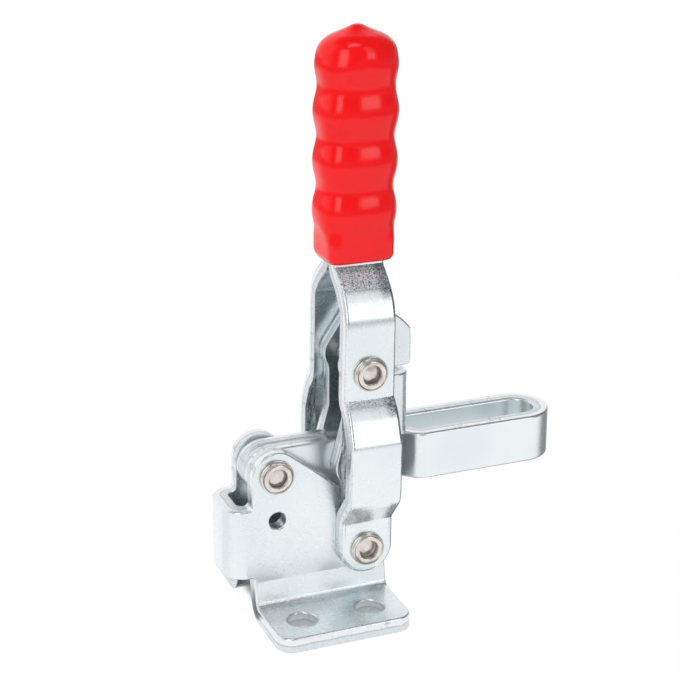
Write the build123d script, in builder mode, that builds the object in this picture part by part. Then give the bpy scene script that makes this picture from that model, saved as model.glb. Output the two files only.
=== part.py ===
from build123d import *
import math
import os

os.makedirs("parts", exist_ok=True)

# Vertical toggle clamp, in millimetres. X runs forward along the clamping bar
# and Z is up. The origin is the centre of the four mounting holes, on the
# plane that the flanges rest on. Near pieces are at -Y and are mirrored.

# ---------- sheets and the gaps between them ----------
base_sheet = 3.1
bar_strip = 3.1
link_sheet = 3.0
handle_sheet = 3.1
leg_gap = 0.3             # seam between the bar's two legs
side_play = 0.1           # between neighbouring sheets that turn

# ---------- base ----------
hole_pitch_x = 14.0
hole_pitch_y = 29.6
mount_hole_d = 5.8
flange_length = 27.5
flange_span = 42.8        # across both flanges
flange_corner_r = 3.2
flange_bend_r = 1.4       # inside radius
flare_top_z = 8.0         # below this the side plates lean out
flare_run = 1.0           # how far they lean out at the flange
side_foot_z = 9.0         # side plates and rear wall start here
ear_r = 4.9
front_corner_z = 15.5     # centre of the rounded front top corner
front_corner_r = 5.2
wall_rear_x = -19.0       # outer face of the rounded rear wall
wall_top_z = 23.0
wall_bend_r = 1.2         # inside radius
relief_d = 1.8            # reliefs where the folds end
side_hole_x = -8.8
side_hole_z = 20.6
side_hole_d = 3.4

# ---------- pivots, clamp locked ----------
ear_pivot_x = -9.0        # base to bar
ear_pivot_z = 30.0
low_pivot_x = 8.6         # base to handle
low_pivot_z = 13.15
bar_pivot_x = 7.85        # link to bar
bar_pivot_z = 29.4
handle_throw = 36.7       # base pivot to link pivot, along the handle
handle_lean = 0.6         # degrees forward

# ---------- clamping bar ----------
bar_depth = 9.8
bar_slot = 7.3
bar_tip_x = 52.1
bar_jog_start_x = 17.2
bar_jog_end_x = 21.1
bar_jog_r = 3.7

# ---------- toggle link ----------
link_top_r = 4.2
link_foot_r = 4.5
link_waist_in = 3.35      # waist behind the link's upper pivot
link_waist_z = 9.6        # waist starts this far above the lower pivot
link_waist_r = 3.0
link_front_in = 9.85      # front face ahead of the upper pivot
link_bend_r = 0.6         # inside radius
link_tab_in = 5.0         # rounded front corner of the tab, from the upper pivot
link_tab_up = 6.45
link_tab_r = 4.75
link_sweep_r = 11.9       # the tab stays within this of its pivot
link_notch = 1.8          # relief between tab and web
link_notch_drop = 0.65    # its top edge below the upper pivot
link_notch_depth = 4.5
stop_gap = 0.05           # web to bar, clamp locked

# ---------- handle, heights above the lower pivot ----------
handle_width_foot = 10.8
handle_width_top = 10.0
foot_fold_up = 6.3
bulge_low_up = 11.7
flat_drop = 5.8           # upper flat starts this far below its pivot
shoulder_drop = 2.5       # the shoulder this far below that
bulge_drop = 5.4          # and the middle flat ends below the shoulder
bulge_run = 4.4           # the middle flat stands out by this
shoulder_run = 2.3        # and its shoulder by this
tab_clear = 0.45          # upper flat runs on past the tab's sweep
brow_rise = 4.0           # first, flatter part of the slope to the grip
brow_run = 3.1
neck_rise = 2.8           # second, steeper part
handle_fold_r = 1.5       # inside radius
handle_seam = 0.1         # between the two plates in the grip
tang_length = 38.0        # of the plates inside the grip

# ---------- rivets ----------
rivet_d = 3.4
rivet_play = 0.05         # radial, in every rivet hole
ring_d = 6.8
ring_h = 1.3
mouth_d = 3.8
bore_d = 2.5
ear_bore = 1.4            # depth of each rivet's bore, from its mouth
bar_bore = 1.4
link_bore = 2.6
low_bore = 4.4
ring_roll = 0.45          # bevel that stands for the roll
dome_h = 0.9              # above the rim
dome_rim = 0.4
dome_top_d = 4.0          # flat left on the head
spacer_d = 6.2
tie_d = 3.0               # flush rivets through the plates in the grip
tie_in = 9.5              # from the rim, and from the tang's end
tie_play = 0.05

# ---------- grip ----------
grip_shift = 0.25         # grip centre ahead of the handle's centre line
grip_play = 0.05
grip_sink = 1.0           # pocket runs past the rim by this
grip_lift = 1.45          # rim above the last fold
grip_corner = 0.72        # corner radius over the half width across
grip_half_x = 7.38        # mean half widths of the swelling body
grip_half_y = 5.9
grip_swell = 0.27         # swells stand out and waists sink by this
grip_pitch = 9.1          # from swell to swell
grip_swells = 4
grip_first = 9.9          # first swell above the rim
grip_ends = (             # height above the rim, half widths: rim and root
    (0.0, 6.45, 5.05),
    (1.1, 6.85, 5.45),
    (4.2, 7.0, 5.6),
)
grip_crown = (            # height above the last swell, half widths
    (2.3, 6.95, 5.55),
    (4.2, 6.0, 4.8),
    (5.5, 4.4, 3.5),
    (6.3, 2.5, 2.0),
    (6.95, 0.9, 0.75),
)

# ---------- what follows from them ----------
leg_in = leg_gap / 2
leg_out = leg_in + bar_strip
base_in = leg_out + side_play
base_out = base_in + base_sheet
link_in = leg_out + side_play
link_out = link_in + link_sheet
handle_in = max(base_out, link_out) + side_play
handle_out = handle_in + handle_sheet
bar_out = bar_slot / 2 + bar_strip
bar_low_z = bar_pivot_z - bar_depth / 2
bar_high_z = bar_pivot_z + bar_depth / 2
side_front_x = low_pivot_x + front_corner_r
ear_rear_x = ear_pivot_x - ear_r
flange_rear_x = side_front_x - flange_length
lean = math.radians(handle_lean)
top_pivot_x = low_pivot_x + handle_throw * math.sin(lean)
top_pivot_z = low_pivot_z + handle_throw * math.cos(lean)
web_foot_z = bar_high_z + stop_gap
link_waist_x = top_pivot_x - link_waist_in
link_front_x = top_pivot_x + link_front_in
link_fold_x = link_front_x - link_bend_r - link_sheet
notch_high_z = top_pivot_z - link_notch_drop
notch_low_z = notch_high_z - link_notch
flat_low_up = handle_throw - flat_drop
shoulder_up = flat_low_up - shoulder_drop
bulge_high_up = shoulder_up - bulge_drop
flat_high_up = handle_throw + link_sweep_r + tab_clear
brow_up = flat_high_up + brow_rise
neck_up = brow_up + neck_rise
grip_rim_up = neck_up + grip_lift
handle_top_up = grip_rim_up + tang_length
handle_mid = handle_in + handle_sheet / 2
grip_mid = (handle_seam + handle_sheet) / 2
grip_pocket_width = handle_width_foot + 2 * grip_play
hole_r = rivet_d / 2 + rivet_play
tie_spots = (
    (0, grip_rim_up + tie_in),
    (0, handle_top_up - tie_in),
)
far_enough = 2 * handle_out      # deeper than any cut across Y

# sketch X is world X, sketch Y is world Z
side = Plane(origin=(0, 0, 0), x_dir=(1, 0, 0), z_dir=(0, -1, 0))
# sketch X is world Y, sketch Y is world Z
cross = Plane(origin=(0, 0, 0), x_dir=(0, 1, 0), z_dir=(1, 0, 0))
# the same two, through the lower pivot and leaning with the handle
handle_side = Plane(
    origin=(low_pivot_x, 0, low_pivot_z),
    x_dir=(math.cos(lean), 0, -math.sin(lean)),
    z_dir=(0, -1, 0),
)
handle_cross = Plane(
    origin=(low_pivot_x, 0, low_pivot_z),
    x_dir=(0, 1, 0),
    z_dir=(math.cos(lean), 0, -math.sin(lean)),
)


def rivet_plane(x, z):
    """Plane through a rivet's axis: sketch X runs to -Y, sketch Y is up."""
    return Plane(origin=(x, 0, z), x_dir=(0, -1, 0), z_dir=(-1, 0, 0))


def rivet_axis(x, z):
    return Axis((x, 0, z), (0, 1, 0))


def rivet_section(x, z, stack, bore):
    """Half section of a rivet through sheets that reach stack on both sides."""
    rolled = stack + ring_h
    domed = stack + dome_rim
    with BuildSketch(rivet_plane(x, z)) as section:
        with BuildLine():
            Polyline(
                # low head on the far side
                (-stack, rivet_d / 2),
                (-stack, ring_d / 2),
                (-domed, ring_d / 2),
                (-domed - dome_h, dome_top_d / 2),
                (-domed - dome_h, 0),
                # bore and rolled ring on the near side
                (rolled - bore, 0),
                (rolled - bore, bore_d / 2),
                (stack, bore_d / 2),
                (rolled - ring_roll, mouth_d / 2),
                (rolled, mouth_d / 2 + ring_roll),
                (rolled, ring_d / 2 - ring_roll),
                (rolled - ring_roll, ring_d / 2),
                (stack, ring_d / 2),
                (stack, rivet_d / 2),
                close=True,
            )
        make_face()
    return section.sketch


def grip_rings():
    """Height above the lower pivot and half widths of each ring of the grip."""
    rings = [(grip_rim_up + rise, *half) for rise, *half in grip_ends]
    for quarter in range(-1, 4 * grip_swells - 3):
        wave = grip_swell * math.cos(math.pi / 2 * quarter)
        rise = grip_rim_up + grip_first + quarter * grip_pitch / 4
        rings.append((rise, grip_half_x + wave, grip_half_y + wave * grip_half_y / grip_half_x))
    rings += [(rise + up, *half) for up, *half in grip_crown]
    return rings


# ---------- base plate: one folded sheet ----------
with BuildPart() as base_plate:
    with BuildSketch(Plane.XY.offset(side_foot_z)):
        with BuildLine():
            FilletPolyline(
                (side_front_x, base_out),
                (wall_rear_x, base_out),
                (wall_rear_x, -base_out),
                (side_front_x, -base_out),
                radius=wall_bend_r + base_sheet,
            )
            offset(amount=base_sheet, side=Side.LEFT)
        make_face()
    extrude(amount=ear_pivot_z + ear_r - side_foot_z)
    with BuildSketch(side):
        # ear, slope and rounded front corner
        with Locations((ear_pivot_x, ear_pivot_z)):
            Circle(ear_r)
        with Locations((low_pivot_x, front_corner_z)):
            Circle(front_corner_r)
        with Locations((ear_rear_x, side_foot_z)):
            Rectangle(side_front_x - ear_rear_x, relief_d, align=(Align.MIN, Align.MIN))
        make_hull()
        with Locations((wall_rear_x, side_foot_z)):
            Rectangle(
                ear_rear_x - wall_rear_x,
                wall_top_z - side_foot_z,
                align=(Align.MIN, Align.MIN),
            )
        with Locations((ear_rear_x - relief_d / 2, wall_top_z)):
            Circle(relief_d / 2, mode=Mode.SUBTRACT)
    extrude(amount=far_enough, both=True, mode=Mode.INTERSECT)
    # flared feet and flanges
    with BuildSketch(cross.offset(flange_rear_x)):
        with BuildLine():
            FilletPolyline(
                (-base_out, side_foot_z),
                (-base_out, flare_top_z),
                (-base_out - flare_run, base_sheet),
                (-flange_span / 2, base_sheet),
                radius=flange_bend_r,
            )
            offset(amount=base_sheet, side=Side.LEFT)
        make_face()
        mirror(about=Plane.YZ)
    extrude(amount=flange_length)
    outer_corners = base_plate.edges().filter_by(Axis.Z).filter_by(
        lambda edge: abs(edge.center().Y) > flange_span / 2 - side_play
    )
    fillet(outer_corners, flange_corner_r)
    # mounting holes, rivet holes and the side hole
    with BuildSketch(Plane.XY):
        with GridLocations(hole_pitch_x, hole_pitch_y, 2, 2):
            Circle(mount_hole_d / 2)
    extrude(amount=base_sheet, mode=Mode.SUBTRACT)
    with BuildSketch(side):
        with Locations((ear_pivot_x, ear_pivot_z), (low_pivot_x, low_pivot_z)):
            Circle(hole_r)
        with Locations((side_hole_x, side_hole_z)):
            Circle(side_hole_d / 2)
    extrude(amount=far_enough, both=True, mode=Mode.SUBTRACT)
base_plate.part.label = "base_plate"

# ---------- clamping bar: one strip bent into a closed slot ----------
with BuildPart() as u_bar:
    with BuildSketch(Plane.XY.offset(bar_low_z)):
        with BuildLine():
            near_leg = FilletPolyline(
                (ear_rear_x, -leg_out),
                (bar_jog_start_x, -leg_out),
                (bar_jog_end_x, -bar_out),
                (bar_tip_x - bar_out, -bar_out),
                radius=bar_jog_r,
            )
            JernArc(near_leg @ 1, (1, 0), bar_out, 180)
            FilletPolyline(
                (bar_tip_x - bar_out, bar_out),
                (bar_jog_end_x, bar_out),
                (bar_jog_start_x, leg_out),
                (ear_rear_x, leg_out),
                radius=bar_jog_r,
            )
            offset(amount=bar_strip, side=Side.LEFT)
        make_face()
    extrude(amount=bar_depth)
    with BuildSketch(side):
        # tail rounded about the ear
        with Locations((ear_pivot_x, bar_pivot_z)):
            Circle(bar_depth / 2)
            Rectangle(bar_tip_x - ear_pivot_x, bar_depth, align=(Align.MIN, Align.CENTER))
    extrude(amount=far_enough, both=True, mode=Mode.INTERSECT)
    with BuildSketch(side):
        with Locations((ear_pivot_x, ear_pivot_z), (bar_pivot_x, bar_pivot_z)):
            Circle(hole_r)
    extrude(amount=far_enough, both=True, mode=Mode.SUBTRACT)
u_bar.part.label = "u_bar"

# ---------- toggle link: a channel with two rounded tabs ----------
with BuildPart() as toggle_link:
    with BuildSketch(side.offset(link_in)):
        # tab
        with Locations((top_pivot_x, top_pivot_z)):
            Circle(link_top_r)
        with Locations((top_pivot_x + link_tab_in, top_pivot_z + link_tab_up)):
            Circle(link_tab_r)
        with Locations((link_front_x, notch_high_z)):
            Rectangle(link_tab_r, link_tab_r, align=(Align.MAX, Align.MIN))
        make_hull()
        with Locations((top_pivot_x, top_pivot_z)):
            Circle(link_sweep_r, mode=Mode.INTERSECT)
        with Locations((link_front_x, notch_high_z)):
            Rectangle(
                link_notch_depth, link_top_r, align=(Align.MAX, Align.MAX), mode=Mode.SUBTRACT
            )
    extrude(amount=link_sheet)
    with BuildSketch(side.offset(link_in)):
        # rounded foot and shank, as far as the web's fold
        with Locations((bar_pivot_x, bar_pivot_z)):
            Circle(link_foot_r)
        with Locations((link_waist_x, web_foot_z)):
            Rectangle(
                link_fold_x - link_waist_x,
                bar_pivot_z + link_waist_z - web_foot_z,
                align=(Align.MIN, Align.MIN),
            )
        make_hull()
        with Locations((link_waist_x, web_foot_z)):
            Rectangle(
                link_fold_x - link_waist_x,
                notch_low_z - web_foot_z,
                align=(Align.MIN, Align.MIN),
            )
        with Locations((link_waist_x, web_foot_z)):
            Rectangle(
                link_front_x - link_notch_depth - link_waist_x,
                notch_high_z - web_foot_z,
                align=(Align.MIN, Align.MIN),
            )
    extrude(amount=link_sheet)
    waist = toggle_link.edges().filter_by(Axis.Y).filter_by(
        lambda edge: abs(edge.center().X - link_waist_x) < side_play
    )
    fillet(waist, link_waist_r)
    mirror(about=Plane.XZ)
    # web across the front
    with BuildSketch(Plane.XY.offset(web_foot_z)):
        with BuildLine():
            FilletPolyline(
                (link_fold_x - link_sheet, -link_out),
                (link_front_x, -link_out),
                (link_front_x, link_out),
                (link_fold_x - link_sheet, link_out),
                radius=link_bend_r + link_sheet,
            )
            offset(amount=link_sheet, side=Side.LEFT)
        make_face()
    extrude(amount=notch_low_z - web_foot_z)
    with BuildSketch(side):
        with Locations((top_pivot_x, top_pivot_z), (bar_pivot_x, bar_pivot_z)):
            Circle(hole_r)
    extrude(amount=far_enough, both=True, mode=Mode.SUBTRACT)
toggle_link.part.label = "toggle_link"

# ---------- handle: two folded plates, mirrored ----------
with BuildPart() as handle_plate_near:
    with BuildSketch(handle_cross.offset(-handle_width_foot)):
        with BuildLine():
            FilletPolyline(
                (-handle_mid, -handle_width_foot),
                (-handle_mid, foot_fold_up),
                (-handle_mid - bulge_run, bulge_low_up),
                (-handle_mid - bulge_run, bulge_high_up),
                (-handle_mid - shoulder_run, shoulder_up),
                (-handle_mid, flat_low_up),
                (-handle_mid, flat_high_up),
                (-handle_mid + brow_run, brow_up),
                (-grip_mid, neck_up),
                (-grip_mid, handle_top_up + handle_width_top),
                radius=handle_fold_r + handle_sheet / 2,
            )
        trace(line_width=handle_sheet)
    extrude(amount=2 * handle_width_foot)
    with BuildSketch(handle_side):
        Circle(handle_width_foot / 2)
        with Locations((0, handle_top_up)):
            RectangleRounded(
                handle_width_top,
                handle_width_top,
                handle_width_top / 3,
                align=(Align.CENTER, Align.MAX),
            )
        make_hull()
    extrude(amount=far_enough, both=True, mode=Mode.INTERSECT)
    with BuildSketch(handle_side):
        with Locations((0, 0), (0, handle_throw)):
            Circle(hole_r)
        with Locations(*tie_spots):
            Circle(tie_d / 2 + tie_play)
    extrude(amount=far_enough, both=True, mode=Mode.SUBTRACT)
handle_plate_near.part.label = "handle_plate_near"

with BuildPart() as handle_plate_far:
    mirror(handle_plate_near.part, about=Plane.XZ)
handle_plate_far.part.label = "handle_plate_far"

with BuildPart() as handle_ties:
    with BuildSketch(handle_side):
        with Locations(*tie_spots):
            Circle(tie_d / 2)
    extrude(amount=grip_mid + handle_sheet / 2, both=True)
handle_ties.part.label = "handle_ties"

# ---------- grip ----------
with BuildPart() as grip:
    for rise, half_x, half_y in grip_rings():
        with BuildSketch(Plane.XY.offset(low_pivot_z + rise)):
            with Locations((low_pivot_x + rise * math.tan(lean) + grip_shift, 0)):
                RectangleRounded(2 * half_x, 2 * half_y, grip_corner * half_y)
    loft(ruled=True)
    # pocket for the two plates
    with BuildSketch(handle_cross):
        with Locations((0, grip_rim_up - grip_sink)):
            Rectangle(
                2 * grip_mid + handle_sheet + 2 * grip_play,
                tang_length + grip_sink + grip_play,
                align=(Align.CENTER, Align.MIN),
            )
    extrude(amount=grip_pocket_width / 2, both=True, mode=Mode.SUBTRACT)
grip.part.label = "grip"

# ---------- rivets and spacer ----------
# The ear rivet is one piece in steel. Here its middle rides with the bar and
# its ends stay in the base, because the linkage is opened at this pivot.
ear_section = rivet_section(ear_pivot_x, ear_pivot_z, base_out, ear_bore)

with BuildPart() as ear_rivet_ends:
    revolve(ear_section, axis=rivet_axis(ear_pivot_x, ear_pivot_z))
    with BuildSketch(side):
        with Locations((ear_pivot_x, ear_pivot_z)):
            Circle(ring_d)
    extrude(amount=base_in, both=True, mode=Mode.SUBTRACT)
ear_rivet_ends.part.label = "ear_rivet_ends"

with BuildPart() as ear_rivet_core:
    with BuildSketch(side):
        with Locations((ear_pivot_x, ear_pivot_z)):
            Circle(rivet_d / 2)
    extrude(amount=leg_out, both=True)
ear_rivet_core.part.label = "ear_rivet_core"

with BuildPart() as bar_rivet:
    revolve(
        rivet_section(bar_pivot_x, bar_pivot_z, link_out, bar_bore),
        axis=rivet_axis(bar_pivot_x, bar_pivot_z),
    )
bar_rivet.part.label = "bar_rivet"

with BuildPart() as link_rivet:
    revolve(
        rivet_section(top_pivot_x, top_pivot_z, handle_out, link_bore),
        axis=rivet_axis(top_pivot_x, top_pivot_z),
    )
link_rivet.part.label = "link_rivet"

with BuildPart() as low_rivet:
    revolve(
        rivet_section(low_pivot_x, low_pivot_z, handle_out, low_bore),
        axis=rivet_axis(low_pivot_x, low_pivot_z),
    )
low_rivet.part.label = "low_rivet"

with BuildPart() as base_spacer:
    with BuildSketch(side):
        with Locations((low_pivot_x, low_pivot_z)):
            Circle(spacer_d / 2)
            Circle(hole_r, mode=Mode.SUBTRACT)
    extrude(amount=base_in, both=True)
base_spacer.part.label = "base_spacer"

for piece in (
    base_plate,
    base_spacer,
    u_bar,
    toggle_link,
    handle_plate_near,
    handle_plate_far,
    handle_ties,
    grip,
    ear_rivet_ends,
    ear_rivet_core,
    bar_rivet,
    link_rivet,
    low_rivet,
):
    export_step(piece.part, f"parts/{piece.part.label}.step")
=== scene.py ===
import math

import bmesh
import bpy
import numpy as np
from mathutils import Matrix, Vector
from mathutils.geometry import delaunay_2d_cdt


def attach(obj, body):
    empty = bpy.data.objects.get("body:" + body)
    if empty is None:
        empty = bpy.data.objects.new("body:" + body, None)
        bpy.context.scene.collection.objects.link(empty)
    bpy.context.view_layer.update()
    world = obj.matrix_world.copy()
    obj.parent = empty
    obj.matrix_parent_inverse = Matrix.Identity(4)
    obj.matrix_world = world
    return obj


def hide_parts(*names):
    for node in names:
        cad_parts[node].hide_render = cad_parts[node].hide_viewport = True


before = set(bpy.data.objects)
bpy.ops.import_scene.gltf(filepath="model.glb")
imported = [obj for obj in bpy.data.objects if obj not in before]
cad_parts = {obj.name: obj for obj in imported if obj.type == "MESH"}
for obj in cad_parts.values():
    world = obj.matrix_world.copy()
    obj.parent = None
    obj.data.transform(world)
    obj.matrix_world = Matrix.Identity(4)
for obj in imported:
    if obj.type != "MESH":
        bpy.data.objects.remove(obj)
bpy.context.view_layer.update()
mm = 0.001
print("frame loaded")


# shader maths
class Wire:
    # a socket that can be added, multiplied and so on; each sign adds a Math node
    def __init__(self, tree, socket):
        self.tree, self.socket = tree, socket

    def math(self, operation, first, second=0.0):
        return put(self.tree, "ShaderNodeMath", {"operation": operation}, {0: first, 1: second})

    def __add__(self, other): return self.math("ADD", self, other)
    def __radd__(self, other): return self.math("ADD", other, self)
    def __sub__(self, other): return self.math("SUBTRACT", self, other)
    def __rsub__(self, other): return self.math("SUBTRACT", other, self)
    def __mul__(self, other): return self.math("MULTIPLY", self, other)
    def __rmul__(self, other): return self.math("MULTIPLY", other, self)
    def __pow__(self, other): return self.math("POWER", self, other)
    def __abs__(self): return self.math("ABSOLUTE", self)
    def most(self, other): return self.math("MAXIMUM", self, other)

    def step(self, low, high):
        # smooth change from 0 to 1 as this goes from low to high
        return put(self.tree, "ShaderNodeMapRange", {"interpolation_type": "SMOOTHSTEP", "clamp": True},
                   {0: self, 1: low, 2: high})


def put(tree, kind, settings=None, sockets=None, output=0):
    # one node: its settings first, then the values or links of its sockets
    node = tree.nodes.new(kind)
    for key, value in (settings or {}).items():
        setattr(node, key, value)
    for key, value in (sockets or {}).items():
        if isinstance(value, Wire):
            tree.links.new(value.socket, node.inputs[key])
        else:
            node.inputs[key].default_value = value
    return Wire(tree, node.outputs[output]) if node.outputs else None


def bearing(x, y):
    # direction in the floor's plane in degrees: 0 towards -Y, 90 towards +X
    return x.math("ARCTAN2", x, y * -1.0) * (180 / math.pi)


class Finish:
    # a material under way: object coordinates in metres, and the usual patterns on them
    def __init__(self, name):
        self.material = bpy.data.materials.new(name)
        self.material.use_nodes = True
        self.tree = self.material.node_tree
        self.tree.nodes.clear()
        self.place = self.put("ShaderNodeTexCoord", output=3)

    def put(self, kind, settings=None, sockets=None, output=0):
        return put(self.tree, kind, settings, sockets, output)

    def scaled(self, factors):
        return self.put("ShaderNodeVectorMath", {"operation": "MULTIPLY"}, {0: self.place, 1: factors})

    def noise(self, size, detail=3.0, rough=0.55, stretch=(1, 1, 1), warp=0.0):
        # cloudy pattern with features of about this size in metres
        at = self.scaled([s / size for s in stretch])
        return self.put("ShaderNodeTexNoise", {}, {"Vector": at, "Scale": 1.0, "Detail": detail,
                                                   "Roughness": rough, "Distortion": warp})

    def dots(self, cell, radius, share):
        # round dots in a share of the cells, picked by the cell's own colour
        at = self.scaled([1 / cell] * 3)
        near = self.put("ShaderNodeTexVoronoi", {}, {"Vector": at, "Scale": 1.0})
        pick = Wire(self.tree, near.socket.node.outputs[1])
        chosen = self.put("ShaderNodeSeparateColor", {}, {0: pick})
        return near.step(radius / cell, 0.6 * radius / cell) * chosen.step(share, 0.97 * share)

    def blendOf(self, factor, first, second):
        return self.put("ShaderNodeMix", {"data_type": "RGBA"}, {0: factor, 6: first, 7: second}, 2)

    def attribute(self, name):
        return self.put("ShaderNodeAttribute", {"attribute_name": name}, output=2)

    def axis(self, index):
        # one of the coordinates
        return self.put("ShaderNodeSeparateXYZ", {}, {0: self.place}, index)

    def facing(self, index):
        # one part of the surface's normal
        normal = self.put("ShaderNodeNewGeometry", output=1)
        return self.put("ShaderNodeSeparateXYZ", {}, {0: normal}, index)

    def bump(self, height, strength, distance):
        return self.put("ShaderNodeBump", {}, {"Strength": strength, "Distance": distance, "Height": height})

    def close(self, sockets):
        shader = self.put("ShaderNodeBsdfPrincipled", {}, sockets)
        self.put("ShaderNodeOutputMaterial", {}, {0: shader})
        return self.material


def colour(*rgb):
    return (*rgb, 1.0)


# zinc plate
zincLook = {
    "pale": colour(0.90, 0.95, 0.965),
    "cool": colour(0.82, 0.895, 0.92),
    "warm": colour(0.92, 0.935, 0.925),
    # painted shade for the inner faces, which face the other plate
    "inner": colour(0.62, 0.70, 0.73),
    # painted dark reflection: the colour steep folds are painted with for the dark room they reflect
    "steepDarkReflection": colour(0.11, 0.125, 0.155),
    "grains": colour(0.84, 0.92, 0.97),
    "burnished": colour(0.88, 0.91, 0.925),
    "torn": colour(0.72, 0.78, 0.81),
    "speck": colour(0.30, 0.34, 0.36),
    "roughness": 0.27,
    # sizes of the patterns, in metres
    "driftSize": 0.016, "mottleSize": 0.0032, "peelSize": 0.00042, "rollSize": 0.0011,
    "grainSize": 0.00030, "streakSize": 0.0005, "scuffSize": 0.0016, "reliefDepth": 0.00006,
    # specks: cell and radius, and the share of the cells that hold one
    "specks": (0.0023, 0.00015, 0.13), "fineSpecks": (0.0009, 0.00008, 0.03),
    # how squarely a face looks sideways: on any fold, on a steep one that takes the painted dark reflection,
    # where the painted dark reflection runs along one edge, on a nose
    "fold": (0.985, 0.90), "foldEnd": (0.25, 0.45), "steep": (0.785, 0.715), "run": (0.94, 0.82),
    "nose": (0.2, 0.4), "darkEdgeX": (0.0110, 0.0128),
}


def zincFinish(name, tint=1.0, relief=1.0, rolled=0.0, darkReflectionAmount=0.0, metal=0.94, innerShade=1.0):
    # rolled roughens it in streaks, strain sets the painted dark reflection on its steep folds and lining the
    # painted shade on its inner faces
    look = zincLook
    f = Finish(name)
    drift = f.noise(look["driftSize"], 2.0)
    mottle = f.noise(look["mottleSize"], 4.0, 0.6, warp=0.4)
    peel = f.noise(look["peelSize"], 2.0, 0.6)
    roll = f.noise(look["rollSize"], 3.0, 0.6, stretch=(0.12, 1, 1))
    sheared, through = f.attribute("sheared"), f.attribute("through")
    face = 1.0 - sheared
    across = abs(f.facing(1))
    base = f.blendOf(drift.step(0.35, 0.68), look["pale"], look["cool"])
    base = f.blendOf(mottle.step(0.52, 0.78) * 0.45, base, look["warm"])
    # painted shade: the lower (inner) faces are darkened where the plates shade each other
    base = f.blendOf(through.step(0.90, 0.98) * face * innerShade, base, look["inner"])

    # punched edges: a burnished band next to the outer face, then a torn one
    streaks = f.noise(look["streakSize"], 3.0, 0.7, stretch=(1, 0.1, 1))
    scuffs = f.noise(look["scuffSize"], 3.0, 0.7, stretch=(1, 0.35, 1)).step(0.58, 0.72) * sheared
    through = through + 0.30 * (mottle - 0.5)
    torn = sheared * through.step(0.50, 0.62)
    seam = sheared * through.step(0.44, 0.50) * through.step(0.62, 0.52)
    base = f.blendOf(sheared, base, look["burnished"])
    base = f.blendOf(torn * (0.25 + 0.75 * streaks.step(0.3, 0.7)), base, look["torn"])
    base = f.blendOf((seam * 0.5).most(scuffs * 0.6), base, look["speck"])
    specks = f.dots(*look["specks"]).most(f.dots(*look["fineSpecks"]))
    base = f.blendOf(specks * 0.5, base, look["speck"])

    # steep folds get a painted dark reflection, dark grey with bright grains, and a painted dark reflection
    # towards one edge
    onSheet = across.step(*look["nose"])
    grains = f.noise(look["grainSize"], 2.0, 0.7)
    # painted dark reflection: where a fold is steep, its colour is painted dark by its facing
    steepDarkReflection = across.step(*look["steep"]) * onSheet * face
    grainy = f.blendOf(grains.step(0.54, 0.38), look["grains"], look["steepDarkReflection"])
    base = f.blendOf(steepDarkReflection * darkReflectionAmount, base, grainy)
    # painted dark reflection along one edge of the sloped faces, placed by x and by facing
    run = f.axis(0).step(*look["darkEdgeX"]) * across.step(*look["run"]) * onSheet * through.step(0.6, 0.4)
    run = run * (0.4 + 0.6 * grains.step(0.62, 0.42))
    base = f.blendOf(run * darkReflectionAmount, base, look["steepDarkReflection"])

    base = f.put("ShaderNodeVectorMath", {"operation": "MULTIPLY"}, {0: base, 1: (tint, tint, tint)})
    rough = look["roughness"] + 0.08 * (mottle - 0.5) + 0.16 * torn + 0.05 * specks + rolled * roll
    # the stretched plating over a fold is as grainy as orange peel
    folded = across.step(*look["fold"]) * across.step(*look["foldEnd"]) * face
    height = 0.22 * mottle + (0.04 + 1.1 * folded) * peel + 0.08 * roll + torn * streaks - 0.3 * specks - seam
    # the painted dark reflection also lowers the metallic share
    return f.close({"Base Color": base, "Metallic": metal - 0.7 * darkReflectionAmount * steepDarkReflection, "Roughness": rough,
                    "Normal": f.bump(height, 0.32 * relief, look["reliefDepth"])})


# rivet steel
rivetLook = {
    "bright": colour(0.87, 0.825, 0.775),
    "dull": colour(0.70, 0.65, 0.60),
    # painted shade in the recess, the groove and the seat
    "recessShade": colour(0.10, 0.08, 0.065),
    "roughness": 0.26, "metal": 0.95,
    "mottleSize": 0.0016, "fineSize": 0.00022, "reliefDepth": 0.00005,
}


def rivetFinish(name):
    look = rivetLook
    f = Finish(name)
    mottle = f.noise(look["mottleSize"], 3.0, 0.6)
    fine = f.noise(look["fineSize"], 2.0)
    depth = f.attribute("depth")
    base = f.blendOf(mottle.step(0.35, 0.75), look["bright"], look["dull"])
    # painted shade, by the depth value of each row
    base = f.blendOf(depth * (0.6 + 0.5 * mottle), base, look["recessShade"])
    rough = look["roughness"] + 0.14 * (mottle - 0.5) + 0.22 * depth
    return f.close({"Base Color": base, "Metallic": look["metal"], "Roughness": rough,
                    "Normal": f.bump(0.5 * mottle + 0.6 * fine, 0.3, look["reliefDepth"])})


# dipped vinyl
vinylLook = {
    "red": colour(0.97, 0.006, 0.009),
    "deep": colour(0.92, 0.004, 0.006),
    # painted shade for the rim's underside and the pocket
    "underShade": colour(0.16, 0.002, 0.003),
    "dust": colour(0.95, 0.35, 0.33),
    "roughness": 0.14, "ior": 1.41,
    "cloudSize": 0.011, "peelSize": 0.0024, "reliefDepth": 0.0002,
    "dustSpots": (0.0032, 0.00013, 0.12),
}


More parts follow.
